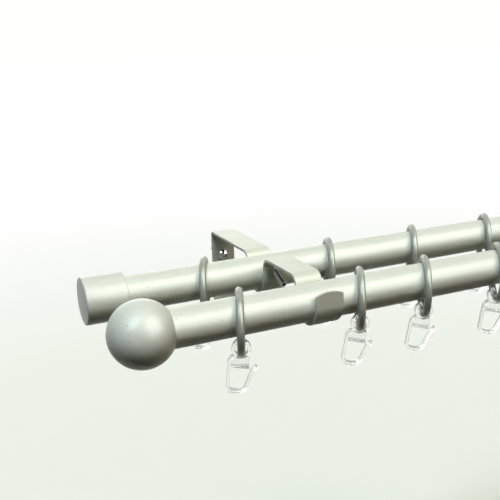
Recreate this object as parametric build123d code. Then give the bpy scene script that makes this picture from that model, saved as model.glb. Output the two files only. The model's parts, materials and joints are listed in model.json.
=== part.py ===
from build123d import *
import os
from math import asin, cos, degrees, radians, sin, sqrt, tan

# Extendable double curtain rod in millimetres.
# X runs along the rods, -Y points from the wall into the room, +Z is up.
# The origin is the middle of the four wall screws, on the wall plane.

# Rods
tube_dia = 28.0
tube_wall = 1.0
slide_gap = 0.5  # outer tube's bore to the inner tube, on the radius
inner_tube_wall = 1.0
rear_projection = 98.0  # wall to the rear rod's axis
rod_spacing = 86.0  # rear rod's axis to the front rod's axis
rod_height = 35.0  # rod axes above the middle of the wall screws
tube_overhang = 140.0  # left bracket's middle to the left end of both outer tubes
outer_tube_length = 645.0
inner_tube_length = 600.0
inner_tube_reach = 45.0  # inner tube's right end beyond the outer tube's right end

# Brackets, each one folded strip
bracket_spacing = 410.0
strip_width = 22.0
strip_thickness = 2.5
cradle_gap = 0.2  # tube to the strip around it
rear_arm_height = 14.2  # top of the first arm above the rod axes
front_arm_height = 16.6  # top of the second arm above the rod axes
fold_radius = 4.5  # outside of the fold at the wall
arch_radius = 9.0  # outside of the bends that drop behind the rods
knee_radius = 9.0  # outside of the bend in front of the rear rod
lip_height = 12.0  # top of the front lip above the front rod's axis
lip_arch = 2.6  # rise of the lip's curved end over its corners
lip_corner_radius = 1.0
plate_height = 85.2
plate_corner_radius = 4.0

# Wall screws
fixing_spacing = 50.0
wall_screw_dia = 5.0
wall_screw_neck_dia = 4.0
wall_screw_neck_past = 0.3  # end of the neck behind the wall plane
wall_screw_length = 32.0
wall_screw_hole_gap = 0.4
wall_screw_point = 6.0
screw_head_dia = 11.0
screw_head_height = 3.8
screw_head_rim = 0.8
cross_recess_span = 5.8
cross_recess_width = 1.4
cross_recess_depth = 2.2

# Set screws that lock the tubes in the cradles
set_screw_dia = 6.0
set_screw_body = 15.0
set_screw_point_angle = 35.0  # half angle of the cone point
set_screw_tilt = 28.0  # outer end below the level
set_screw_rise = 3.6  # where its axis leaves the strip, above the rod axis
set_screw_hole_gap = 0.15
set_screw_tip_gap = 0.25
socket_across_flats = 3.0
socket_depth = 3.5
socket_chamfer = 0.4

# Finials
finial_fit = 0.2  # socket to tube, on the radius
ball_dia = 47.4
ball_socket_past_middle = 6.5
ball_mouth_chamfer = 0.6
cap_dia = 37.0
cap_length = 32.0
cap_socket_depth = 17.7
cap_face_radius = 1.2
cap_mouth_radius = 0.8

# Rings
ring_wire_dia = 5.6
ring_play = 9.4  # ring's bore over the tube's diameter
ring_clearance = 0.3  # top of the tube to the ring
front_rings_from_left = (-63.0, 35.0, 94.0, 167.0)  # from the left bracket's middle
front_ring_before_right = 109.0  # fifth ring to the right bracket's middle
rear_rings_from_left = (-56.0, 58.4, 145.0, 228.0)
rear_ring_before_right = 85.0
front_ring_turns = (22.5, 27.6, 28.6, 28.6, 18.0, 14.0)  # degrees round the vertical
rear_ring_turns = (24.6, 22.0, 28.6, 28.6, 16.0, 12.0)

# Hooks, each one clear moulding that snaps on a ring from below
front_hook_leans = (6.0, 10.0, 10.0, 9.0, 7.0, 8.0)  # degrees round the ring's wire
rear_hook_leans = (7.0, 8.0, 6.0, 9.0, 6.0, 8.0)
clip_play = 3.4  # clip's bore over the wire's diameter
clip_clearance = 0.3  # bottom of the wire to the clip
clip_grip = 1.0  # wire's diameter over the clip's mouth
clip_wall = 2.6
clip_tip_rounding = 0.9
clip_length = 6.0
hook_depth = 5.0
hook_strip = 2.2
hook_reach = 9.0  # wire's axis to the outside of the long leg
shoulder_radius = 6.5
leg_length = 18.2
heel_radius = 4.6
heel_turn = 85.0
bottom_run = 3.5
toe_radius = 7.5
toe_turn = 80.0
point_run = 12.2
point_flare_radius = 3.9
point_flare_turn = 40.0
point_length = 1.5
point_rounding = 0.9
web_depth = 2.0
web_width = 6.4  # wire's axis to the web's free edge
web_drop = 13.0  # wire's axis to the bottom of the web
crossbar_height = 1.8

# Places worked out from the sizes above
tube_radius = tube_dia / 2
inner_tube_dia = tube_dia - 2 * tube_wall - 2 * slide_gap
cradle_radius = tube_radius + cradle_gap
rear_y = -rear_projection
front_y = rear_y - rod_spacing
left_x = -bracket_spacing / 2
right_x = bracket_spacing / 2
outer_left_x = left_x - tube_overhang
outer_right_x = outer_left_x + outer_tube_length
inner_right_x = outer_right_x + inner_tube_reach
inner_left_x = inner_right_x - inner_tube_length
right_bracket_edge = right_x + strip_width / 2
right_ball_edge = inner_right_x - ball_socket_past_middle - ball_dia / 2
right_cap_edge = inner_right_x - cap_socket_depth
wire_radius = ring_wire_dia / 2
ring_inner_dia = tube_dia + ring_play
ring_radius = ring_inner_dia / 2 + wire_radius
ring_z = rod_height + tube_radius + ring_clearance - ring_inner_dia / 2
wire_z = ring_z - ring_radius
front_rings = [left_x + along for along in front_rings_from_left]
front_rings += [right_x - front_ring_before_right, (right_bracket_edge + right_ball_edge) / 2]
rear_rings = [left_x + along for along in rear_rings_from_left]
rear_rings += [right_x - rear_ring_before_right, (right_bracket_edge + right_cap_edge) / 2]


def strip_profile(steps, start, heading, thickness):
    # A strip of even thickness, drawn as runs and bends along one face; a left turn is positive.
    def face_line(inset):
        way = Vector(heading)
        point = Vector(start) + way.rotate(Axis.Z, 90) * inset
        edges = []
        for run, radius, turn in steps:
            if run:
                edges.append(Line(point, point + way * run))
                point = edges[-1] @ 1
            if turn:
                side = -inset if turn > 0 else inset
                edges.append(JernArc(point, way, radius + side, turn))
                point = edges[-1] @ 1
                way = edges[-1] % 1
        return edges

    near = face_line(0)
    far = face_line(thickness)
    ends = [Line(near[0] @ 0, far[0] @ 0), Line(near[-1] @ 1, far[-1] @ 1)]
    return make_face(near + far + ends)


def set_screw_place(rod_y, side):
    # The screw's axis leaves the strip on the rod's near side (-1) or far side (+1).
    leg = side * (cradle_radius + strip_thickness)
    place = Pos(0, rod_y + leg, rod_height + set_screw_rise)
    return place * Rot(side * (90 - set_screw_tilt), 0, 0)


def set_screw_tip():
    # Distance along the axis from the strip's outside to the tube's surface, less the gap.
    leg = cradle_radius + strip_thickness
    along = leg * cos(radians(set_screw_tilt)) - set_screw_rise * sin(radians(set_screw_tilt))
    square = leg**2 + set_screw_rise**2 - tube_radius**2
    return along - sqrt(along**2 - square) - set_screw_tip_gap


def bracket():
    rear_top = rear_arm_height - arch_radius
    front_top = front_arm_height - arch_radius
    knee_top = front_arm_height - knee_radius
    plate_run = plate_height - fold_radius
    rear_run = rear_projection - cradle_radius - arch_radius - fold_radius
    front_run = rod_spacing - 2 * cradle_radius - knee_radius - arch_radius
    steps = [
        (plate_run, fold_radius, 90),
        (rear_run, arch_radius, 90),
        (rear_top, cradle_radius, -180),
        (knee_top, knee_radius, 90),
        (front_run, arch_radius, 90),
        (front_top, cradle_radius, -180),
        (lip_height, 0, 0),
    ]
    plate_bottom = rod_height + rear_arm_height - plate_height
    profile = strip_profile(steps, (0, plate_bottom), (0, 1), strip_thickness)
    strip = extrude(Plane.YZ * profile, strip_width / 2, both=True)

    lip_y = front_y - cradle_radius - strip_thickness / 2
    lip_top = rod_height + lip_height
    arch = (strip_width**2 / 4 + lip_arch**2) / (2 * lip_arch)
    blank = Box(2 * strip_width, 2 * strip_thickness, 2 * lip_arch)
    curve = Pos(0, 0, -arch) * Rot(90, 0, 0) * Cylinder(arch, 3 * strip_thickness)
    strip -= Pos(0, lip_y, lip_top) * (blank - curve)

    across = strip.edges().filter_by(Axis.Y)
    strip = fillet(across.group_by(Axis.Z)[0], plate_corner_radius)
    tips = strip.edges().filter_by(Axis.Y)
    tips = tips.filter_by_position(Axis.Y, lip_y - strip_thickness, lip_y + strip_thickness)
    strip = fillet(tips, lip_corner_radius)

    hole = wall_screw_dia / 2 + wall_screw_hole_gap
    for z in (-fixing_spacing / 2, fixing_spacing / 2):
        strip -= Pos(0, 0, z) * Rot(90, 0, 0) * Cylinder(hole, 3 * strip_thickness)
    thread = Cylinder(set_screw_dia / 2 + set_screw_hole_gap, 4 * strip_thickness)
    for rod_y, side in ((rear_y, -1), (front_y, 1)):
        strip -= set_screw_place(rod_y, side) * thread
    return strip


def wall_screw():
    # Turned about Z with the head upwards, its seat at the origin, then laid into the wall.
    head_radius = screw_head_dia / 2
    thread_radius = wall_screw_dia / 2
    neck_radius = wall_screw_neck_dia / 2
    neck_end = -strip_thickness - wall_screw_neck_past
    dome_height = screw_head_height - screw_head_rim
    dome_radius = (head_radius**2 + dome_height**2) / (2 * dome_height)
    dome_turn = -degrees(asin(head_radius / dome_radius))
    dome = JernArc((0, screw_head_height), (1, 0), dome_radius, dome_turn)
    rest = Polyline(
        dome @ 1,
        (head_radius, 0),
        (neck_radius, 0),
        (neck_radius, neck_end),
        (thread_radius, neck_end),
        (thread_radius, wall_screw_point - wall_screw_length),
        (0, -wall_screw_length),
        (0, screw_head_height),
    )
    body = revolve(Plane.XZ * make_face([dome, rest]), Axis.Z)
    slot = Box(cross_recess_span, cross_recess_width, 2 * cross_recess_depth)
    recess = Pos(0, 0, screw_head_height) * (slot + Rot(0, 0, 90) * slot)
    return Rot(90, 0, 0) * (body - recess)


def set_screw():
    # Along Z: the strip's outside is at 0, the cone point above it and the socket below.
    radius = set_screw_dia / 2
    tip = set_screw_tip()
    point = radius / tan(radians(set_screw_point_angle))
    bottom = tip - point - set_screw_body
    outline = Polyline(
        (0, bottom),
        (radius - socket_chamfer, bottom),
        (radius, bottom + socket_chamfer),
        (radius, tip - point),
        (0, tip),
        close=True,
    )
    body = revolve(Plane.XZ * make_face(outline), Axis.Z)
    hexagon = RegularPolygon(socket_across_flats / 2, 6, major_radius=False)
    return body - Pos(0, 0, bottom) * extrude(hexagon, socket_depth)


def along_x(x, y):
    return Pos(x, y, rod_height) * Rot(0, 90, 0)


def tube(dia, wall, x_from, x_to, y):
    ring = Circle(dia / 2) - Circle(dia / 2 - wall)
    return along_x(x_from, y) * extrude(ring, x_to - x_from)


def ball(bore_dia):
    # The mouth faces +Z and the tube's end stands at the origin.
    bore = bore_dia / 2 + finial_fit
    sphere = Pos(0, 0, ball_socket_past_middle) * Sphere(ball_dia / 2)
    body = sphere - Pos(0, 0, ball_dia / 2) * Cylinder(bore, ball_dia)
    mouth = body.edges().filter_by(GeomType.CIRCLE).sort_by(Axis.Z)[-1]
    return chamfer(mouth, ball_mouth_chamfer)


def cap(bore_dia):
    # The mouth faces +Z and the tube's end stands at the origin.
    bore = bore_dia / 2 + finial_fit
    body = Pos(0, 0, cap_socket_depth) * extrude(Circle(cap_dia / 2), -cap_length)
    body = fillet(body.edges().sort_by(Axis.Z)[0], cap_face_radius)
    body = fillet(body.edges().sort_by(Axis.Z)[-1], cap_mouth_radius)
    return body - extrude(Circle(bore), cap_socket_depth)


def ring():
    return Rot(0, 90, 0) * Torus(ring_radius, wire_radius)


def hook():
    # The wire's axis is Y through the origin; the hook hangs in the XZ plane.
    seat = wire_radius + clip_clearance
    bore = wire_radius + clip_play / 2
    rim = bore + clip_wall
    clip = Circle(rim) - Circle(bore) - Pos(0, rim) * Rectangle(ring_wire_dia - clip_grip, 2 * rim)
    clip = fillet(clip.vertices().sort_by(Axis.Y)[-4:], clip_tip_rounding)
    clip = Pos(0, bore - seat) * clip

    start = (0, -seat)
    steps = [
        (hook_reach - shoulder_radius, shoulder_radius, 90),
        (leg_length, heel_radius, heel_turn),
        (bottom_run, toe_radius, toe_turn),
        (point_run, point_flare_radius, -point_flare_turn),
        (point_length, 0, 0),
    ]
    strip = strip_profile(steps, start, (-1, 0), hook_strip)
    web = Pos(web_width, -web_drop) * Rectangle(
        web_width + hook_reach - hook_strip / 2,
        web_drop - seat - hook_strip / 2,
        align=(Align.MAX, Align.MIN),
    )
    bar = Pos(web_width, -web_drop) * Rectangle(
        web_width + hook_reach - hook_strip / 2,
        crossbar_height,
        align=(Align.MAX, Align.MIN),
    )
    body = extrude(Plane.XZ * clip, clip_length / 2, both=True)
    body += extrude(Plane.XZ * strip, hook_depth / 2, both=True)
    body += extrude(Plane.XZ * web, web_depth / 2, both=True)
    body += extrude(Plane.XZ * bar, hook_depth / 2, both=True)
    point_edges = body.edges().filter_by(Axis.Y).sort_by(Axis.X)[-2:]
    return fillet(point_edges, point_rounding)


def save(shape, name):
    export_step(shape, f"parts/{name}.step")


def save_bracket(side, x):
    save(Pos(x, 0, 0) * bracket(), f"{side}_bracket")
    screws = [Pos(x, -strip_thickness, z) * wall_screw() for z in (-fixing_spacing / 2, fixing_spacing / 2)]
    save(Compound(children=screws), f"{side}_wall_screws")
    locks = [Pos(x, 0, 0) * set_screw_place(y, way) * set_screw() for y, way in ((rear_y, -1), (front_y, 1))]
    save(Compound(children=locks), f"{side}_set_screws")


def save_rod(rod, y, finial, name):
    save(tube(tube_dia, tube_wall, outer_left_x, outer_right_x, y), f"{rod}_outer_tube")
    save(tube(inner_tube_dia, inner_tube_wall, inner_left_x, inner_right_x, y), f"{rod}_inner_tube")
    save(along_x(outer_left_x, y) * finial(tube_dia), f"{rod}_left_{name}")
    save(along_x(inner_right_x, y) * Rot(0, 180, 0) * finial(inner_tube_dia), f"{rod}_right_{name}")


def save_rings(rod, y, places, turns, leans):
    for number, (x, turn, lean) in enumerate(zip(places, turns, leans), start=1):
        across = Pos(x, y, 0) * Rot(0, 0, -turn)
        save(across * Pos(0, 0, ring_z) * ring(), f"{rod}_ring_{number}")
        save(across * Pos(0, 0, wire_z) * Rot(0, lean, 0) * hook(), f"{rod}_hook_{number}")


os.makedirs("parts", exist_ok=True)
save_bracket("left", left_x)
save_bracket("right", right_x)
save_rod("front", front_y, ball, "ball")
save_rod("rear", rear_y, cap, "cap")
save_rings("front", front_y, front_rings, front_ring_turns, front_hook_leans)
save_rings("rear", rear_y, rear_rings, rear_ring_turns, rear_hook_leans)
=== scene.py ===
import json
import math

import bpy
from mathutils import Matrix, Vector


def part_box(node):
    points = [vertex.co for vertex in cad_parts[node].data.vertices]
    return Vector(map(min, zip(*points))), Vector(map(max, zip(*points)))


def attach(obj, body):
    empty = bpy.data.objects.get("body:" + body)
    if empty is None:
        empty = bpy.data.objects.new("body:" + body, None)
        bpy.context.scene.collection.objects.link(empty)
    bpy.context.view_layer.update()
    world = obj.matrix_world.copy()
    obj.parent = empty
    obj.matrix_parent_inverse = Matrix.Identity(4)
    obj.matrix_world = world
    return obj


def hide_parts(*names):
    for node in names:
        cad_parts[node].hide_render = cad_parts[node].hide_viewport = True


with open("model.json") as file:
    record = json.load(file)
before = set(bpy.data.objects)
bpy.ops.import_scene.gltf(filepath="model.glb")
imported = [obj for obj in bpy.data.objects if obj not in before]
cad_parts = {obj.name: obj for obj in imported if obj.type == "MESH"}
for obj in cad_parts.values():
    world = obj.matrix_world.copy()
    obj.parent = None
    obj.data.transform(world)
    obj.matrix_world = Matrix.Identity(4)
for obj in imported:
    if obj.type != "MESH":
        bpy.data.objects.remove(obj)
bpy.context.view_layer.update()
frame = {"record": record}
mm = 0.001
joints = {joint["name"]: joint for joint in frame["record"]["behaviour"]["joints"]}
print("frame loaded")


# Modelling helpers

meshLook = {
    "sameSpot": 0.002 * mm,  # points closer than this are one point
    "flatAngle": 2,  # degrees between faces that count as flat
    "bendStep": 6,  # degrees for each face of a bend
    "bendFaces": 3,  # fewest faces in a bend
    "edgeFaces": 3,  # faces across an eased edge
}


def clearSelection():
    if bpy.context.object and bpy.context.object.mode != "OBJECT":
        bpy.ops.object.mode_set(mode="OBJECT")
    bpy.ops.object.select_all(action="DESELECT")


def takeUp(piece):  # one piece selected and active, in object mode
    clearSelection()
    piece.select_set(True)
    bpy.context.view_layer.objects.active = piece


def editAll(piece):  # goes into edit mode with everything selected
    takeUp(piece)
    bpy.ops.object.mode_set(mode="EDIT")
    bpy.ops.mesh.select_all(action="SELECT")


def pick(piece, kind, test):  # goes into edit mode with the matching points, edges or faces selected
    takeUp(piece)
    bpy.ops.object.mode_set(mode="EDIT")
    bpy.ops.mesh.select_mode(type=kind)
    bpy.ops.mesh.select_all(action="DESELECT")
    bpy.ops.object.mode_set(mode="OBJECT")
    points = piece.data.vertices
    if kind == "VERT":
        for point in points:
            point.select = test(point.co)
    elif kind == "EDGE":
        for edge in piece.data.edges:
            edge.select = all(test(points[i].co) for i in edge.vertices)
    else:
        for face in piece.data.polygons:
            face.select = test(face)
    bpy.ops.object.mode_set(mode="EDIT")


def addModifier(piece, kind, **settings):
    takeUp(piece)
    modifier = piece.modifiers.new(kind.lower(), kind)
    for key, value in settings.items():
        setattr(modifier, key, value)
    bpy.ops.object.modifier_apply(modifier=modifier.name)


def settle(piece, place):  # moves a piece and keeps its place in its mesh
    takeUp(piece)
    piece.matrix_world = place
    bpy.ops.object.transform_apply(location=True, rotation=True, scale=True)
    return piece


def copyTo(master, place):
    takeUp(master)
    bpy.ops.object.duplicate(linked=False)
    return settle(bpy.context.object, place)


def discard(*pieces):
    clearSelection()
    for piece in pieces:
        piece.select_set(True)
    bpy.ops.object.delete()


def joinUp(first, second):  # the second becomes part of the first
    takeUp(first)
    second.select_set(True)
    bpy.ops.object.join()
    return first


def mix(piece, other, operation):  # Boolean with another piece, which is then used up
    addModifier(piece, "BOOLEAN", object=other, operation=operation, solver="EXACT")
    discard(other)


def mergeUp():  # in edit mode, and leaves it
    bpy.ops.mesh.select_all(action="SELECT")
    bpy.ops.mesh.remove_doubles(threshold=meshLook["sameSpot"])
    bpy.ops.mesh.normals_make_consistent(inside=False)
    bpy.ops.object.mode_set(mode="OBJECT")


def trueUp(piece):  # after cutting: merges points, makes triangles and turns the thin ones
    editAll(piece)
    bpy.ops.mesh.remove_doubles(threshold=meshLook["sameSpot"])
    bpy.ops.mesh.dissolve_degenerate(threshold=meshLook["sameSpot"])
    bpy.ops.mesh.quads_convert_to_tris(quad_method="BEAUTY", ngon_method="BEAUTY")
    bpy.ops.mesh.beautify_fill(angle_limit=math.radians(meshLook["flatAngle"]))
    mergeUp()


def smoothOver(piece, angle):
    takeUp(piece)
    bpy.ops.object.shade_smooth_by_angle(angle=math.radians(angle))


def easeEdges(piece, width, angle):  # rounds the edges sharper than an angle; width in mm
    addModifier(piece, "BEVEL", width=width * mm, segments=meshLook["edgeFaces"], limit_method="ANGLE",
                angle_limit=math.radians(angle), use_clamp_overlap=False)


def startPoint(place):  # a single point in edit mode, to draw a line from
    clearSelection()
    bpy.ops.mesh.primitive_plane_add(size=mm, location=place)
    bpy.ops.object.transform_apply(location=True)
    bpy.ops.object.mode_set(mode="EDIT")
    bpy.ops.mesh.select_mode(type="VERT")
    bpy.ops.mesh.select_all(action="SELECT")
    bpy.ops.mesh.merge(type="CENTER")
    return bpy.context.object


def drawLine(points):  # (along X, radius) in mm, above the X axis
    piece = startPoint((points[0][0] * mm, 0, points[0][1] * mm))
    for (fromX, fromR), (toX, toR) in zip(points, points[1:]):
        step = ((toX - fromX) * mm, 0, (toR - fromR) * mm)
        bpy.ops.mesh.extrude_vertices_move(TRANSFORM_OT_translate={"value": step})
    return piece


def lathe(points, sides):  # turns a drawn line about the X axis
    piece = drawLine(points)
    bpy.ops.mesh.select_all(action="SELECT")
    bpy.ops.mesh.spin(steps=sides, angle=2 * math.pi, center=(0, 0, 0), axis=(1, 0, 0))
    mergeUp()
    return piece


def roundCorner(centreX, centreR, radius, fromTurn, toTurn, steps):  # arc points for a drawn line, in degrees
    points = []
    for i in range(steps + 1):
        turn = math.radians(fromTurn + (toTurn - fromTurn) * i / steps)
        points.append((centreX + radius * math.cos(turn), centreR + radius * math.sin(turn)))
    return points


def foldStrip(width, thickness, start, way, steps):
    # A strip across X whose middle line runs and bends in the YZ plane; sizes in mm, left turns positive.
    clearSelection()
    y, z = start
    farHalf = (y + width / 2) * mm
    bpy.ops.mesh.primitive_plane_add(size=width * mm, location=(0, farHalf, z * mm))
    bpy.ops.object.transform_apply(location=True)
    strip = bpy.context.object
    pick(strip, "VERT", lambda co: co.y > farHalf)
    bpy.ops.mesh.delete(type="VERT")
    bpy.ops.mesh.select_mode(type="EDGE")
    bpy.ops.mesh.select_all(action="SELECT")
    for run, radius, turn in steps:
        aim = math.radians(way)
        if run:
            move = (0, run * math.cos(aim) * mm, run * math.sin(aim) * mm)
            bpy.ops.mesh.extrude_region_move(TRANSFORM_OT_translate={"value": move})
            y += run * math.cos(aim)
            z += run * math.sin(aim)
        if turn:
            side = math.copysign(radius, turn) - thickness / 2
            centreY = y - side * math.sin(aim)
            centreZ = z + side * math.cos(aim)
            faces = max(meshLook["bendFaces"], round(abs(turn) / meshLook["bendStep"]))
            bpy.ops.mesh.spin(steps=faces, angle=-math.radians(turn), axis=(1, 0, 0),
                              center=(0, centreY * mm, centreZ * mm))
            way += turn
            aim = math.radians(way)
            y = centreY + side * math.sin(aim)
            z = centreZ - side * math.cos(aim)
    mergeUp()
    return strip


def wallUp(strip, thickness):
    addModifier(strip, "SOLIDIFY", thickness=thickness * mm, offset=0, use_even_offset=True)


def alongWay(place, way):  # puts the X axis on a way through a place in mm
    return Matrix.Translation(place * mm) @ way.to_track_quat("X", "Z").to_matrix().to_4x4()


def boxOf(node):  # lowest and highest corners in mm
    low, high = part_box(node)
    return low / mm, high / mm


def rodAxis(rod):  # middle and radius of a rod's outer tube in mm
    low, high = boxOf(rod + "_outer_tube")
    return (low + high) / 2, (high.z - low.z) / 2


def bracketPlaces():  # each bracket's side and middle along X in mm
    places = []
    for side in ("left", "right"):
        low, high = boxOf(f"{side}_bracket")
        places.append((side, (low.x + high.x) / 2))
    return places


def handOver(piece, name, body, slotName, material, *nodes):
    piece.name = name
    piece.data.name = name
    piece.data.materials.clear()
    piece.data.materials.append(material)
    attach(piece, body)
    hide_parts(*nodes)


# Finishes

maskRange = (0.3, 0.7)  # where the values of a noise mask mostly lie
textureLook = {
    "flakeFrom": 0.55,  # cells brighter than this are flakes
    "grain": {"Detail": 2.0, "Roughness": 0.6},
    "smudge": {"Detail": 4.0, "Roughness": 0.55},
    "line": {"Detail": 2.0, "Roughness": 0.5},
    "lineStretch": (0.04, 9.0, 9.0),
}


def addNode(tree, kind, values=None, **settings):
    node = tree.nodes.new(kind)
    for key, value in settings.items():
        setattr(node, key, value)
    for socket, value in (values or {}).items():
        node.inputs[socket].default_value = value
    return node


def link(tree, *pairs):  # pairs of an output and the input that it feeds
    for output, socket in pairs:
        tree.links.new(output, socket)


def newGroup(name, inputs, outputs):
    group = bpy.data.node_groups.new(name, "ShaderNodeTree")
    for way, sockets in (("INPUT", inputs), ("OUTPUT", outputs)):
        for socket, kind in sockets.items():
            group.interface.new_socket(name=socket, in_out=way, socket_type="NodeSocket" + kind)
    return group, group.nodes.new("NodeGroupInput"), group.nodes.new("NodeGroupOutput")


def layOut(group, given, texture):  # puts a texture on the group's own vector and scale
    for socket in ("Vector", "Scale"):
        link(group, (given.outputs[socket], texture.inputs[socket]))
    return texture


def makeFlakeGroup():  # metal flakes in paint: a mask of bright flakes and a height
    group, given, result = newGroup(
        "metalFlake", {"Vector": "Vector", "Scale": "Float"}, {"Flake": "Float", "Height": "Float"})
    cells = layOut(group, given, addNode(group, "ShaderNodeTexVoronoi"))
    grain = layOut(group, given, addNode(group, "ShaderNodeTexNoise", textureLook["grain"]))
    shade = addNode(group, "ShaderNodeSeparateColor")
    bright = addNode(group, "ShaderNodeMapRange", {"From Min": textureLook["flakeFrom"], "From Max": 1.0})
    link(group, (cells.outputs["Color"], shade.inputs["Color"]),
         (shade.outputs["Red"], bright.inputs["Value"]),
         (bright.outputs["Result"], result.inputs["Flake"]),
         (grain.outputs["Fac"], result.inputs["Height"]))
    return group


def makeSpeckGroup():  # a mask of small marks, in a share of the cells
    group, given, result = newGroup(
        "paintSpeck", {"Vector": "Vector", "Scale": "Float", "Size": "Float", "Share": "Float"},
        {"Speck": "Float"})
    cells = layOut(group, given, addNode(group, "ShaderNodeTexVoronoi"))
    shade = addNode(group, "ShaderNodeSeparateColor")
    near = addNode(group, "ShaderNodeMath", operation="LESS_THAN")
    chosen = addNode(group, "ShaderNodeMath", operation="LESS_THAN")
    both = addNode(group, "ShaderNodeMath", operation="MULTIPLY")
    link(group, (cells.outputs["Distance"], near.inputs[0]),
         (given.outputs["Size"], near.inputs[1]),
         (cells.outputs["Color"], shade.inputs["Color"]),
         (shade.outputs["Red"], chosen.inputs[0]),
         (given.outputs["Share"], chosen.inputs[1]),
         (near.outputs[0], both.inputs[0]),
         (chosen.outputs[0], both.inputs[1]),
         (both.outputs[0], result.inputs["Speck"]))
    return group


def makeHandlingGroup():  # soft smudges and faint lines along X, both around a half
    group, given, result = newGroup(
        "handling", {"Vector": "Vector", "Scale": "Float"}, {"Smudge": "Float", "Line": "Float"})
    smudge = layOut(group, given, addNode(group, "ShaderNodeTexNoise", textureLook["smudge"]))
    stretch = addNode(group, "ShaderNodeMapping", {"Scale": textureLook["lineStretch"]})
    line = addNode(group, "ShaderNodeTexNoise", textureLook["line"])
    link(group, (given.outputs["Vector"], stretch.inputs["Vector"]),
         (stretch.outputs["Vector"], line.inputs["Vector"]),
         (given.outputs["Scale"], line.inputs["Scale"]),
         (smudge.outputs["Fac"], result.inputs["Smudge"]),
         (line.outputs["Fac"], result.inputs["Line"]))
    return group


metalFlake = makeFlakeGroup()
handling = makeHandlingGroup()
paintSpeck = makeSpeckGroup()


def newMaterial(name, values):
    material = bpy.data.materials.new(name)
    material.use_nodes = True
    shader = material.node_tree.nodes["Principled BSDF"]
    for socket, value in values.items():
        shader.inputs[socket].default_value = value
    return material, material.node_tree, shader


def useGroup(tree, group, values):  # a group laid out on the object's own coordinates
    where = addNode(tree, "ShaderNodeTexCoord")
    node = addNode(tree, "ShaderNodeGroup", values, node_tree=group)
    link(tree, (where.outputs["Object"], node.inputs["Vector"]))
    return node


def mixColours(tree, mask, first, second, blend="MIX"):  # the first may be a colour or another node's output
    mixed = addNode(tree, "ShaderNodeMix", data_type="RGBA", blend_type=blend)
    mixed.inputs["B"].default_value = (*second, 1)
    if isinstance(first, tuple):
        mixed.inputs["A"].default_value = (*first, 1)
    else:
        link(tree, (first, mixed.inputs["A"]))
    link(tree, (mask, mixed.inputs["Factor"]))
    return mixed.outputs["Result"]


def spreadRoughness(tree, shader, mask, ends):
    rough = addNode(tree, "ShaderNodeMapRange", {
        "From Min": maskRange[0], "From Max": maskRange[1], "To Min": ends[0], "To Max": ends[1]})
    link(tree, (mask, rough.inputs["Value"]), (rough.outputs["Result"], shader.inputs["Roughness"]))


def addBump(tree, shader, height, look):
    bump = addNode(tree, "ShaderNodeBump", {"Strength": look["bumpStrength"], "Distance": look["bumpDepth"]})
    link(tree, (height, bump.inputs["Height"]), (bump.outputs["Normal"], shader.inputs["Normal"]))


def shownRays(tree):  # 1 for the rays that show the background: camera, glossy and transmission
    ray = addNode(tree, "ShaderNodeLightPath")
    seen = addNode(tree, "ShaderNodeMath", operation="ADD")
    shown = addNode(tree, "ShaderNodeMath", operation="ADD", use_clamp=True)
    link(tree, (ray.outputs["Is Camera Ray"], seen.inputs[0]),
         (ray.outputs["Is Glossy Ray"], seen.inputs[1]),
         (seen.outputs[0], shown.inputs[0]),
         (ray.outputs["Is Transmission Ray"], shown.inputs[1]))
    return shown.outputs[0]


silverPaint = {
    # paintedEdgeShade: painted shade, the colour the paint is multiplied by where it is seen edge-on
    "tube": {
        "dark": (0.69, 0.715, 0.62), "light": (0.84, 0.87, 0.755), "paintedEdgeShade": (0.72, 0.72, 0.70),
        "rough": (0.33, 0.43), "specular": 0.26,
    },
    "finial": {
        "dark": (0.69, 0.72, 0.635), "light": (0.84, 0.875, 0.775), "paintedEdgeShade": (0.66, 0.66, 0.65),
        "rough": (0.29, 0.38), "specular": 0.24,
    },
    "bracket": {
        "dark": (0.59, 0.605, 0.50), "light": (0.72, 0.735, 0.61), "paintedEdgeShade": (0.93, 0.93, 0.93),
        "rough": (0.36, 0.46), "specular": 0.25,
    },
    "flakes": {"Scale": 1700.0},
    "flakeShare": 0.55,
    "lineShare": 0.45,
    "smudges": {"Scale": 60.0},
    "specks": {"Scale": 170.0, "Size": 0.075, "Share": 0.30},
    "speckColour": (0.42, 0.42, 0.36),
    "paintedEdgeShadeBlend": 0.5,
    "bumpDepth": 0.05 * mm,
    "bumpStrength": 0.10,
}


def makeSilverPaint(name, look):
    shared = silverPaint
    material, tree, shader = newMaterial(name, {"Specular IOR Level": look["specular"]})
    flake = useGroup(tree, metalFlake, shared["flakes"])
    worn = useGroup(tree, handling, shared["smudges"])
    marks = useGroup(tree, paintSpeck, shared["specks"])
    flakes = addNode(tree, "ShaderNodeMath", {1: shared["flakeShare"]}, operation="MULTIPLY")
    lines = addNode(tree, "ShaderNodeMath", {1: shared["lineShare"]}, operation="MULTIPLY")
    both = addNode(tree, "ShaderNodeMath", operation="ADD")
    link(tree, (flake.outputs["Flake"], flakes.inputs[0]),
         (worn.outputs["Line"], lines.inputs[0]),
         (flakes.outputs[0], both.inputs[0]),
         (lines.outputs[0], both.inputs[1]))
    colour = mixColours(tree, both.outputs[0], look["dark"], look["light"])
    colour = mixColours(tree, marks.outputs["Speck"], colour, shared["speckColour"])
    # painted shade: darker where the paint is seen from the side; a little of this is the flakes' own
    # darkening, the rest stands in for the shade at the edges
    facing = addNode(tree, "ShaderNodeLayerWeight", {"Blend": shared["paintedEdgeShadeBlend"]})
    colour = mixColours(tree, facing.outputs["Facing"], colour, look["paintedEdgeShade"], "MULTIPLY")
    link(tree, (colour, shader.inputs["Base Color"]))
    spreadRoughness(tree, shader, worn.outputs["Smudge"], look["rough"])
    addBump(tree, shader, flake.outputs["Height"], shared)
    return material


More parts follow.
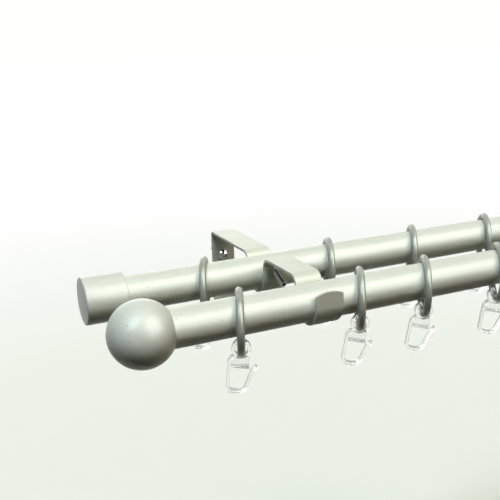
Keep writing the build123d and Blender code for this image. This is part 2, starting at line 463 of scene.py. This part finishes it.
ringGrey = {
    "dark": (0.335, 0.35, 0.29),
    "light": (0.40, 0.42, 0.345),
    "rough": (0.24, 0.32),
    "metallic": 0.04,
    "specular": 0.28,
    "grain": {"Scale": 2600.0},
    "smudges": {"Scale": 120.0},
    "bumpDepth": 0.03 * mm,
    "bumpStrength": 0.06,
}


def makeRingPlastic(name, look):
    material, tree, shader = newMaterial(name, {
        "Metallic": look["metallic"], "Specular IOR Level": look["specular"]})
    flake = useGroup(tree, metalFlake, look["grain"])
    worn = useGroup(tree, handling, look["smudges"])
    colour = mixColours(tree, flake.outputs["Flake"], look["dark"], look["light"])
    link(tree, (colour, shader.inputs["Base Color"]))
    spreadRoughness(tree, shader, worn.outputs["Smudge"], look["rough"])
    addBump(tree, shader, flake.outputs["Height"], look)
    return material


# painted shade: the chrome colours are kept dark to stand in for the dark surroundings that bright plated
# steel reflects
chromeLook = {
    "dark": (0.13, 0.13, 0.12),
    "light": (0.26, 0.26, 0.245),
    "rough": (0.10, 0.22),
    "smudges": {"Scale": 500.0},
}


def makeChrome(name, look):
    material, tree, shader = newMaterial(name, {"Metallic": 1.0})
    worn = useGroup(tree, handling, look["smudges"])
    colour = mixColours(tree, worn.outputs["Smudge"], look["dark"], look["light"])
    link(tree, (colour, shader.inputs["Base Color"]))
    spreadRoughness(tree, shader, worn.outputs["Smudge"], look["rough"])
    return material


clearLook = {
    "colour": (0.96, 0.97, 0.95),
    # painted shade: the rim colour darkens the hook where it is seen edge-on, drawing dark outlines
    "rim": (0.06, 0.06, 0.05),
    "paintedRimShadeBlend": 0.46,
    "specular": 0.2,
    "ior": 1.49,
    "rough": (0.02, 0.06),
    "smudges": {"Scale": 300.0},
    "bumpDepth": 0.05 * mm,
    "bumpStrength": 0.05,
}


def makeClearPlastic(name, look):
    material, tree, shader = newMaterial(name, {
        "IOR": look["ior"], "Transmission Weight": 1.0, "Specular IOR Level": look["specular"]})
    worn = useGroup(tree, handling, look["smudges"])
    # painted shade: dark outlines where the hook is seen edge-on
    facing = addNode(tree, "ShaderNodeLayerWeight", {"Blend": look["paintedRimShadeBlend"]})
    colour = mixColours(tree, facing.outputs["Facing"], look["colour"], look["rim"])
    link(tree, (colour, shader.inputs["Base Color"]))
    spreadRoughness(tree, shader, worn.outputs["Smudge"], look["rough"])
    addBump(tree, shader, worn.outputs["Smudge"], look)
    return material


tubePaint = makeSilverPaint("tubePaint", silverPaint["tube"])
finialPaint = makeSilverPaint("finialPaint", silverPaint["finial"])
bracketPaint = makeSilverPaint("bracketPaint", silverPaint["bracket"])
ringPlastic = makeRingPlastic("ringPlastic", ringGrey)
screwChrome = makeChrome("screwChrome", chromeLook)
hookClear = makeClearPlastic("hookClear", clearLook)
print("finishes made")


# Tubes

tubeLook = {"sides": 144, "wall": 1.0, "edge": 0.25, "smooth": 30}


def makeTube(node, name, body):
    look = tubeLook
    low, high = boxOf(node)
    outer = (high.z - low.z) / 2
    inner = outer - look["wall"]
    edge = look["edge"]
    line = [
        (low.x + edge, outer), (high.x - edge, outer), (high.x, outer - edge), (high.x, inner + edge),
        (high.x - edge, inner), (low.x + edge, inner), (low.x, inner + edge), (low.x, outer - edge),
        (low.x + edge, outer),
    ]
    tube = lathe(line, look["sides"])
    middle = (low + high) / 2
    settle(tube, Matrix.Translation((0, middle.y * mm, middle.z * mm)))
    smoothOver(tube, look["smooth"])
    handOver(tube, name, body, "tube_paint", tubePaint, node)


for rod in ("front", "rear"):
    makeTube(f"{rod}_outer_tube", f"{rod}OuterTube", "wall_set")
    makeTube(f"{rod}_inner_tube", f"{rod}InnerTube", f"{rod}_slider")
print("tubes made")


# Finials

finialLook = {"sides": 128, "fit": 0.4, "lead": 0.4, "smooth": 35}
ballLook = {"arcSteps": 56}
capLook = {"arcSteps": 6, "faceRound": 1.2, "mouthRound": 0.8}


def finialSizes(node, tubeNode):  # in mm; lengths run from the face to the mouth
    low, high = boxOf(node)
    tubeLow, tubeHigh = boxOf(tubeNode)
    onLeft = low.x < tubeLow.x
    return {
        "middle": (low + high) / 2,
        "radius": (high.z - low.z) / 2,
        "length": high.x - low.x,
        "bore": (tubeHigh.z - tubeLow.z) / 2 + finialLook["fit"],
        "tubeEnd": tubeLow.x - low.x if onLeft else high.x - tubeHigh.x,
        "faceX": low.x if onLeft else high.x,
        "turn": 0 if onLeft else math.pi,
    }


def finishFinial(piece, sizes, node, name, body):
    middle = sizes["middle"]
    place = Matrix.Translation((sizes["faceX"] * mm, middle.y * mm, middle.z * mm))
    settle(piece, place @ Matrix.Rotation(sizes["turn"], 4, "Z"))
    smoothOver(piece, finialLook["smooth"])
    handOver(piece, name, body, "finial_paint", finialPaint, node)


def makeBall(node, tubeNode, name, body):
    sizes = finialSizes(node, tubeNode)
    radius, length, bore, tubeEnd = (sizes[key] for key in ("radius", "length", "bore", "tubeEnd"))
    mouthTurn = math.degrees(math.acos((length - radius) / radius))
    line = roundCorner(radius, 0, radius, 180, mouthTurn, ballLook["arcSteps"])
    line += [(length - finialLook["lead"], bore), (tubeEnd, bore), (tubeEnd, 0)]
    finishFinial(lathe(line, finialLook["sides"]), sizes, node, name, body)


def makeCap(node, tubeNode, name, body):
    sizes = finialSizes(node, tubeNode)
    radius, length, bore, tubeEnd = (sizes[key] for key in ("radius", "length", "bore", "tubeEnd"))
    face, mouth, steps = capLook["faceRound"], capLook["mouthRound"], capLook["arcSteps"]
    lead = finialLook["lead"]
    line = [(0, 0)]
    line += roundCorner(face, radius - face, face, 180, 90, steps)
    line += roundCorner(length - mouth, radius - mouth, mouth, 90, 0, steps)
    line += [(length, bore + lead), (length - lead, bore), (tubeEnd, bore), (tubeEnd, 0)]
    finishFinial(lathe(line, finialLook["sides"]), sizes, node, name, body)


makeBall("front_left_ball", "front_outer_tube", "frontLeftBall", "wall_set")
makeBall("front_right_ball", "front_inner_tube", "frontRightBall", "front_slider")
makeCap("rear_left_cap", "rear_outer_tube", "rearLeftCap", "wall_set")
makeCap("rear_right_cap", "rear_inner_tube", "rearRightCap", "rear_slider")
print("finials made")


# Brackets, and the set screws that go through their strips at a tilt

bracketLook = {
    "thickness": 2.5, "cradleGap": 0.2, "rearArm": 14.2, "frontArm": 16.6,
    "fold": 4.5, "arch": 9.0, "knee": 9.0,
    "lipHeight": 12.0, "lipArch": 2.6, "lipPoints": 15, "lipCorner": 1.0, "lipCornerFaces": 5,
    "plateCorner": 4.0, "plateCornerFaces": 8, "wallHole": 2.9, "fixingSpacing": 50.0,
    "edge": 0.45, "easeFrom": 50, "smooth": 30, "normalWeight": 60, "near": 0.05,
}
setScrewLook = {
    "sides": {"rear": -1, "front": 1},  # which side of its rod the screw is on, along Y
    "dia": 6.0, "body": 15.0, "pointAngle": 35.0, "tilt": 28.0, "rise": 3.6, "tipGap": 0.25, "holeGap": 0.15,
    "socket": 3.0, "socketDepth": 3.5, "pitch": 1.0, "threadDepth": 0.45, "chamfer": 0.4, "spare": 0.05,
    "endSides": 64, "smooth": 32,
}
threadLook = {"sides": 32, "flat": 0.125, "startTurns": 1.5, "spareTurns": 3}


def cradleLeg(radius):  # from a rod's axis to the outside of the strip around it, in mm
    return radius + bracketLook["cradleGap"] + bracketLook["thickness"]


def setScrewAxis(rod):  # where the axis leaves the strip in mm, and the way to the tip
    look = setScrewLook
    side = look["sides"][rod]
    middle, radius = rodAxis(rod)
    tilt = math.radians(look["tilt"])
    place = Vector((0, middle.y + side * cradleLeg(radius), middle.z + look["rise"]))
    return place, Vector((0, -side * math.cos(tilt), math.sin(tilt)))


def setScrewTip():  # from the strip's outside along the axis to the point, in mm
    look = setScrewLook
    radius = rodAxis("front")[1]
    leg = cradleLeg(radius)
    tilt = math.radians(look["tilt"])
    along = leg * math.cos(tilt) - look["rise"] * math.sin(tilt)
    square = leg**2 + look["rise"]**2 - radius**2
    return along - math.sqrt(along**2 - square) - look["tipGap"]


def threadRod(dia, depth, pitch, fromX, toX):  # a threaded rod along X, flat at both ends
    look = threadLook
    crest, root = dia / 2, dia / 2 - depth
    flat = pitch * look["flat"]
    ramp = pitch / 2 - flat
    rod = drawLine([(0, root), (ramp, crest), (ramp + flat, crest), (pitch - flat, root), (pitch, root)])
    bpy.ops.object.mode_set(mode="OBJECT")
    turns = math.ceil((toX - fromX) / pitch) + look["spareTurns"]
    addModifier(rod, "SCREW", axis="X", angle=2 * math.pi, screw_offset=pitch * mm, iterations=turns,
                steps=look["sides"], render_steps=look["sides"], use_merge_vertices=True,
                merge_threshold=meshLook["sameSpot"])
    settle(rod, Matrix.Translation(((fromX - look["startTurns"] * pitch) * mm, 0, 0)))
    for x, way in ((fromX, -1), (toX, 1)):
        editAll(rod)
        bpy.ops.mesh.bisect(plane_co=(x * mm, 0, 0), plane_no=(way, 0, 0), use_fill=True, clear_outer=True)
    editAll(rod)
    mergeUp()
    return rod


def makeSetScrews():
    look = setScrewLook
    tip = setScrewTip()
    pitch, spare = look["pitch"], look["spare"]
    radius = look["dia"] / 2
    point = radius / math.tan(math.radians(look["pointAngle"]))
    bottom = tip - point - look["body"]
    screw = threadRod(look["dia"], look["threadDepth"], pitch, bottom - pitch, tip + pitch)
    # the chamfered, pointed shape that the thread is cut to
    wide = radius + spare
    ends = lathe([
        (bottom, 0), (bottom, radius - look["chamfer"]), (bottom + look["chamfer"] + spare, wide),
        (tip - point * wide / radius, wide), (tip, 0)], look["endSides"])
    mix(screw, ends, "INTERSECT")
    # the six-sided socket
    clearSelection()
    bpy.ops.mesh.primitive_cylinder_add(
        vertices=6, radius=look["socket"] / math.sqrt(3) * mm, depth=2 * look["socketDepth"] * mm,
        location=(bottom * mm, 0, 0), rotation=(0, math.pi / 2, 0))
    mix(screw, bpy.context.object, "DIFFERENCE")
    trueUp(screw)
    smoothOver(screw, look["smooth"])
    for side, bracketX in bracketPlaces():
        pair = []
        for rod in look["sides"]:
            place, aim = setScrewAxis(rod)
            pair.append(copyTo(screw, alongWay(place + Vector((bracketX, 0, 0)), aim)))
        both = joinUp(*pair)
        handOver(both, f"{side}SetScrews", "wall_set", "screw_chrome", screwChrome, f"{side}_set_screws")
    discard(screw)


makeSetScrews()
print("set screws made")

drillLook = {"sides": 48, "length": 14}


def drillHole(piece, place, way, radius):
    clearSelection()
    bpy.ops.mesh.primitive_cylinder_add(
        vertices=drillLook["sides"], radius=radius * mm, depth=drillLook["length"] * mm)
    drill = bpy.context.object
    upright = way.to_track_quat("Z", "X").to_matrix().to_4x4()
    settle(drill, Matrix.Translation(place * mm) @ upright)
    mix(piece, drill, "DIFFERENCE")


def archLip(strip, width, lipY, lipTop):  # curves the strip's front end and rounds its corners
    look = bracketLook

    def onLip(co, height):
        return abs(co.y / mm - lipY) < look["near"] and abs(co.z / mm - height) < look["near"]

    pick(strip, "EDGE", lambda co: onLip(co, lipTop))
    bpy.ops.mesh.subdivide(number_cuts=look["lipPoints"])
    bpy.ops.object.mode_set(mode="OBJECT")
    arch = (width**2 / 4 + look["lipArch"]**2) / (2 * look["lipArch"])
    for point in strip.data.vertices:
        if onLip(point.co, lipTop):
            point.co.z -= (arch - math.sqrt(arch**2 - (point.co.x / mm)**2)) * mm
    pick(strip, "VERT", lambda co: onLip(co, lipTop - look["lipArch"]))
    bpy.ops.mesh.bevel(offset=look["lipCorner"] * mm, segments=look["lipCornerFaces"], affect="VERTICES")
    bpy.ops.object.mode_set(mode="OBJECT")


def makeBrackets():
    look = bracketLook
    low, high = boxOf("left_bracket")
    rear, radius = rodAxis("rear")
    front = rodAxis("front")[0]
    width = high.x - low.x
    half = look["thickness"] / 2
    cradle = radius + look["cradleGap"]
    steps = [
        (rear.z + look["rearArm"] - low.z - look["fold"], look["fold"], 90),
        (-rear.y - cradle - look["arch"] - look["fold"], look["arch"], 90),
        (look["rearArm"] - look["arch"], cradle, -180),
        (look["frontArm"] - look["knee"], look["knee"], 90),
        (rear.y - front.y - 2 * cradle - look["knee"] - look["arch"], look["arch"], 90),
        (look["frontArm"] - look["arch"], cradle, -180),
        (look["lipHeight"], 0, 0),
    ]
    strip = foldStrip(width, look["thickness"], (-half, low.z), 90, steps)
    # rounded plate corners
    pick(strip, "VERT", lambda co: co.z < (low.z + look["near"]) * mm)
    bpy.ops.mesh.bevel(offset=look["plateCorner"] * mm, segments=look["plateCornerFaces"], affect="VERTICES")
    archLip(strip, width, front.y - cradle - half, front.z + look["lipHeight"])
    wallUp(strip, look["thickness"])

    for z in (-look["fixingSpacing"] / 2, look["fixingSpacing"] / 2):
        drillHole(strip, Vector((0, 0, z)), Vector((0, 1, 0)), look["wallHole"])
    for rod in setScrewLook["sides"]:
        drillHole(strip, *setScrewAxis(rod), setScrewLook["dia"] / 2 + setScrewLook["holeGap"])
    easeEdges(strip, look["edge"], look["easeFrom"])
    smoothOver(strip, look["smooth"])
    addModifier(strip, "WEIGHTED_NORMAL", keep_sharp=True, weight=look["normalWeight"])

    for side, bracketX in bracketPlaces():
        bracket = copyTo(strip, Matrix.Translation((bracketX * mm, 0, 0)))
        handOver(bracket, f"{side}Bracket", "wall_set", "bracket_paint", bracketPaint, f"{side}_bracket")
    discard(strip)


makeBrackets()
print("brackets made")


# Wall screws

wallScrewLook = {
    "head": 11.0, "headHeight": 3.8, "rim": 0.8, "rimEase": 0.3, "domeSteps": 12,
    "neck": 4.0, "neckPast": 0.3, "neckTaper": 1.0, "coreRun": 2.0, "coreGap": 0.05,
    "dia": 5.0, "length": 32.0, "pitch": 2.2, "threadDepth": 0.9, "threadLap": 0.15,
    "point": 6.0, "pointEnd": 0.03,  # the point's length, and the share of the diameter at its end
    "recessSpan": 6.2, "recessWidth": 1.7, "recessDepth": 2.4, "recessTaper": 0.6,
    "sides": 72, "smooth": 35, "lowerSpin": 20, "upperSpin": 38,
}


def cutRecess(screw, turn):  # one slot of the cross, narrower at its bottom
    look = wallScrewLook
    clearSelection()
    bpy.ops.mesh.primitive_cube_add(size=1)
    cutter = bpy.context.object
    cutter.scale = (2 * look["recessDepth"] * mm, look["recessSpan"] * mm, look["recessWidth"] * mm)
    bpy.ops.object.transform_apply(scale=True)
    pick(cutter, "FACE", lambda face: face.normal.x < -0.5)
    bpy.ops.transform.resize(value=(1, look["recessTaper"], look["recessTaper"]))
    bpy.ops.object.mode_set(mode="OBJECT")
    settle(cutter, Matrix.Translation((look["headHeight"] * mm, 0, 0)) @ Matrix.Rotation(turn, 4, "X"))
    mix(screw, cutter, "DIFFERENCE")


def makeWallScrews():
    look = wallScrewLook
    head, neck, ease = look["head"] / 2, look["neck"] / 2, look["rimEase"]
    dome = look["headHeight"] - look["rim"]
    domeRadius = (head**2 + dome**2) / (2 * dome)
    domeTurn = math.degrees(math.acos((domeRadius - dome) / domeRadius))
    neckEnd = -bracketLook["thickness"] - look["neckPast"]
    core = look["dia"] / 2 - look["threadDepth"] - look["coreGap"]
    coreEnd = neckEnd - look["coreRun"]
    line = roundCorner(look["headHeight"] - domeRadius, 0, domeRadius, 0, domeTurn, look["domeSteps"])
    line += [(ease, head), (0, head - ease), (0, neck), (neckEnd, neck),
             (neckEnd - look["neckTaper"], core), (coreEnd, core), (coreEnd, 0)]
    screw = lathe(line, look["sides"])
    threadEnd = neckEnd + look["threadLap"]
    thread = threadRod(look["dia"], look["threadDepth"], look["pitch"], -look["length"], threadEnd)
    pointStart = look["point"] - look["length"]
    for spot in thread.data.vertices:
        if spot.co.x < pointStart * mm:
            share = max(look["pointEnd"], (spot.co.x / mm + look["length"]) / look["point"])
            spot.co.y *= share
            spot.co.z *= share
    mix(screw, thread, "UNION")
    for turn in (0, math.pi / 2):
        cutRecess(screw, turn)
    trueUp(screw)
    smoothOver(screw, look["smooth"])

    seat = -bracketLook["thickness"]
    apart = bracketLook["fixingSpacing"] / 2
    for side, bracketX in bracketPlaces():
        pair = []
        for z, spin in ((-apart, look["lowerSpin"]), (apart, look["upperSpin"])):
            place = alongWay(Vector((bracketX, seat, z)), Vector((0, -1, 0)))
            pair.append(copyTo(screw, place @ Matrix.Rotation(math.radians(spin), 4, "X")))
        both = joinUp(*pair)
        handOver(both, f"{side}WallScrews", "wall_set", "screw_chrome", screwChrome, f"{side}_wall_screws")
    discard(screw)


makeWallScrews()
print("wall screws made")


# Rings and hooks

ringLook = {"wire": 5.6, "bore": 37.4, "sides": 144, "wireSides": 40, "seam": 0.07, "smooth": 40}
hookLook = {
    "leans": {"front": (6, 10, 10, 9, 7, 8), "rear": (7, 8, 6, 9, 6, 8)},
    "clipPlay": 3.4, "clearance": 0.3, "grip": 1.0, "clipWall": 2.6, "clipEdge": 0.8, "clipLength": 6.0,
    "depth": 5.0, "strip": 2.2, "reach": 9.0, "shoulder": 6.5, "leg": 18.2, "heel": (4.6, 85), "bottom": 3.5,
    "toe": (7.5, 80), "point": 12.2, "flare": (3.9, 40), "tip": 1.5,
    "webDepth": 2.0, "webWidth": 6.4, "webDrop": 13.0, "webInset": 0.2, "bar": 1.8, "barInset": 0.3,
    "edge": 0.35, "easeFrom": 40, "smooth": 30,
}


def makeRing():
    look = ringLook
    clearSelection()
    bpy.ops.mesh.primitive_torus_add(
        major_radius=(look["bore"] + look["wire"]) / 2 * mm, minor_radius=look["wire"] / 2 * mm,
        major_segments=look["sides"], minor_segments=look["wireSides"])
    ring = bpy.context.object
    # moulding seam around the outside
    rim = (look["bore"] / 2 + look["wire"]) * mm
    pick(ring, "VERT", lambda co: co.xy.length > rim - meshLook["sameSpot"])
    grow = 1 + look["seam"] * mm / rim
    bpy.ops.transform.resize(value=(grow, grow, 1), center_override=(0, 0, 0))
    bpy.ops.object.mode_set(mode="OBJECT")
    settle(ring, Matrix.Rotation(math.pi / 2, 4, "Y"))
    smoothOver(ring, look["smooth"])
    return ring


def hookBar(fromX, toX, fromZ, toZ, depth):  # a bar of the hook, its depth along Y
    clearSelection()
    bpy.ops.mesh.primitive_cube_add(size=1, location=((fromX + toX) / 2 * mm, 0, (fromZ + toZ) / 2 * mm))
    bar = bpy.context.object
    bar.scale = ((toX - fromX) * mm, depth * mm, (toZ - fromZ) * mm)
    bpy.ops.object.transform_apply(location=True, scale=True)
    easeEdges(bar, hookLook["edge"], hookLook["easeFrom"])
    return bar


def hookStrip(depth, thickness, start, way, steps, edge):  # a folded strip in the XZ plane
    strip = foldStrip(depth, thickness, start, way, steps)
    wallUp(strip, thickness)
    easeEdges(strip, edge, hookLook["easeFrom"])
    return settle(strip, Matrix.Rotation(-math.pi / 2, 4, "Z"))


def makeClip(seat):  # round the ring's wire, its mouth on top
    look = hookLook
    wire = ringLook["wire"]
    bore = (wire + look["clipPlay"]) / 2
    middle = bore + look["clipWall"] / 2
    mouthTurn = math.degrees(math.asin((wire - look["grip"]) / 2 / middle))
    mouth = math.radians(90 + mouthTurn)
    start = (middle * math.cos(mouth), bore - seat + middle * math.sin(mouth))
    steps = [(0, bore + look["clipWall"], 360 - 2 * mouthTurn)]
    return hookStrip(look["clipLength"], look["clipWall"], start, 180 + mouthTurn, steps, look["clipEdge"])


def makeHook():
    look = hookLook
    seat = ringLook["wire"] / 2 + look["clearance"]
    half = look["strip"] / 2
    # long leg, bottom and point
    steps = [
        (look["reach"] - look["shoulder"], look["shoulder"], 90),
        (look["leg"], *look["heel"]),
        (look["bottom"], *look["toe"]),
        (look["point"], look["flare"][0], -look["flare"][1]),
        (look["tip"], 0, 0),
    ]
    hook = hookStrip(look["depth"], look["strip"], (0, -seat - half), 180, steps, look["edge"])
    mix(hook, makeClip(seat), "UNION")
    # web and crossbar
    right = look["webWidth"]
    left = -look["reach"] + half
    bottom = -look["webDrop"]
    mix(hook, hookBar(left, right, bottom + look["webInset"], -seat - half, look["webDepth"]), "UNION")
    mix(hook, hookBar(left, right, bottom, bottom + look["bar"], look["depth"] - look["barInset"]), "UNION")
    smoothOver(hook, look["smooth"])
    return hook


def hangRings():
    ring = makeRing()
    hook = makeHook()
    for rod in ("front", "rear"):
        for number, lean in enumerate(hookLook["leans"][rod], start=1):
            ringNode, hookNode = f"{rod}_ring_{number}", f"{rod}_hook_{number}"
            swing = joints[hookNode + "_swing"]
            turn = Matrix.Rotation(-math.atan2(swing["axis"][0], swing["axis"][1]), 4, "Z")
            low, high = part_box(ringNode)
            oneRing = copyTo(ring, Matrix.Translation((low + high) / 2) @ turn)
            handOver(oneRing, f"{rod}Ring{number}", ringNode, "ring_plastic", ringPlastic, ringNode)
            hang = Matrix.Translation(swing["pos_m"]) @ turn @ Matrix.Rotation(math.radians(lean), 4, "Y")
            oneHook = copyTo(hook, hang)
            handOver(oneHook, f"{rod}Hook{number}", hookNode, "hook_clear", hookClear, hookNode)
    discard(ring, hook)


hangRings()
print("rings and hooks made")


# Floor, pale near the object and white far off

floorLook = {
    "height": -0.45, "size": 60.0, "near": (0.755, 0.775, 0.695), "underneath": (0.012, 0.009, 0.004),
    "far": (1, 1, 1, 1), "fadeFrom": 0.4, "fadeTo": 2.6,
}


def makeFloor(look):
    clearSelection()
    bpy.ops.mesh.primitive_plane_add(size=look["size"], location=(0, 0, look["height"]))
    bpy.ops.object.transform_apply(location=True)
    floor = bpy.context.object
    floor.name = "floor"
    material = bpy.data.materials.new("floorPale")
    material.use_nodes = True
    tree = material.node_tree
    tree.nodes.clear()
    where = addNode(tree, "ShaderNodeTexCoord")
    reach = addNode(tree, "ShaderNodeVectorMath", operation="LENGTH")
    fade = addNode(tree, "ShaderNodeMapRange", {"From Min": look["fadeFrom"], "From Max": look["fadeTo"]},
                   interpolation_type="SMOOTHSTEP")
    shown = shownRays(tree)
    far = addNode(tree, "ShaderNodeMath", operation="MULTIPLY")
    colour = mixColours(tree, shown, look["underneath"], look["near"])
    matt = addNode(tree, "ShaderNodeBsdfDiffuse")
    white = addNode(tree, "ShaderNodeEmission", {"Color": look["far"], "Strength": 1.0})
    both = addNode(tree, "ShaderNodeMixShader")
    out = addNode(tree, "ShaderNodeOutputMaterial")
    link(tree, (where.outputs["Object"], reach.inputs[0]),
         (reach.outputs["Value"], fade.inputs["Value"]),
         (colour, matt.inputs["Color"]),
         (shown, far.inputs[0]),
         (fade.outputs["Result"], far.inputs[1]),
         (far.outputs[0], both.inputs["Fac"]),
         (matt.outputs["BSDF"], both.inputs[1]),
         (white.outputs["Emission"], both.inputs[2]),
         (both.outputs["Shader"], out.inputs["Surface"]))
    floor.data.materials.append(material)


makeFloor(floorLook)


# Light

lightLook = {
    "ambient": (0.012, 0.009, 0.004),
    "background": (1.0, 1.0, 0.99),
    "lamps": {
        "key": {
            "from": (-0.20, -0.27, 0.94), "strength": 2.90, "spread": 24, "colour": (0.82, 0.91, 1.0),
        },
        "front": {
            "from": (0.42, -0.42, 0.80), "strength": 1.10, "spread": 20, "colour": (1.0, 0.86, 0.58),
        },
        "back": {
            "from": (0.15, 0.98, 0.12), "strength": 0.60, "spread": 40, "colour": (0.97, 1.0, 1.0),
        },
        "rightSoftbox": {
            "from": (0.46, -0.67, 0.58), "strength": 9.8, "spread": 58, "colour": (0.95, 1.0, 0.98),
        },
        "leftSoftbox": {
            "from": (-0.56, -0.38, 0.74), "strength": 4.2, "spread": 26, "colour": (0.65, 0.95, 1.0),
        },
        "rearFill": {
            "from": (-0.10, 0.98, 0.08), "strength": 1.30, "spread": 40, "colour": (0.97, 1.0, 0.98),
        },
    },
    "sheenOnly": ("rightSoftbox", "leftSoftbox"),
    "noSheen": ("rearFill",),
}


def makeLights(look):
    world = bpy.data.worlds.new("studioWorld")
    bpy.context.scene.world = world
    world.use_nodes = True
    tree = world.node_tree
    colour = mixColours(tree, shownRays(tree), look["ambient"], look["background"])
    link(tree, (colour, tree.nodes["Background"].inputs["Color"]))
    for name, lampLook in look["lamps"].items():
        clearSelection()
        bpy.ops.object.light_add(type="SUN")
        lamp = bpy.context.object
        lamp.name = name + "Light"
        lamp.data.energy = lampLook["strength"]
        lamp.data.angle = math.radians(lampLook["spread"])
        lamp.data.color = lampLook["colour"]
        lamp.visible_diffuse = name not in look["sheenOnly"]
        lamp.visible_transmission = name not in look["sheenOnly"]
        lamp.visible_glossy = name not in look["noSheen"]
        lamp.rotation_euler = Vector(lampLook["from"]).to_track_quat("Z", "Y").to_euler()


makeLights(lightLook)
print("floor and light set")


# Camera, at the photograph's angle

cameraLook = {
    "place": (-0.46015, -0.63626, 0.21893),
    "turn": -24.03,
    "down": 15.56,
    "roll": -1.97,
    "lens": 54.05,
    "sensor": 36.0,
    "nearest": 0.01,
}


def makeCamera(look):
    clearSelection()
    bpy.ops.object.camera_add(location=look["place"])
    camera = bpy.context.object
    aim = Matrix.Rotation(math.radians(look["turn"]), 3, "Z")
    aim = aim @ Matrix.Rotation(math.radians(90 - look["down"]), 3, "X")
    aim = aim @ Matrix.Rotation(math.radians(look["roll"]), 3, "Z")
    camera.rotation_euler = aim.to_euler()
    camera.data.lens = look["lens"]
    camera.data.sensor_width = look["sensor"]
    camera.data.clip_start = look["nearest"]
    bpy.context.scene.camera = camera


makeCamera(cameraLook)
bpy.context.scene.view_settings.view_transform = "Standard"
print("camera set")
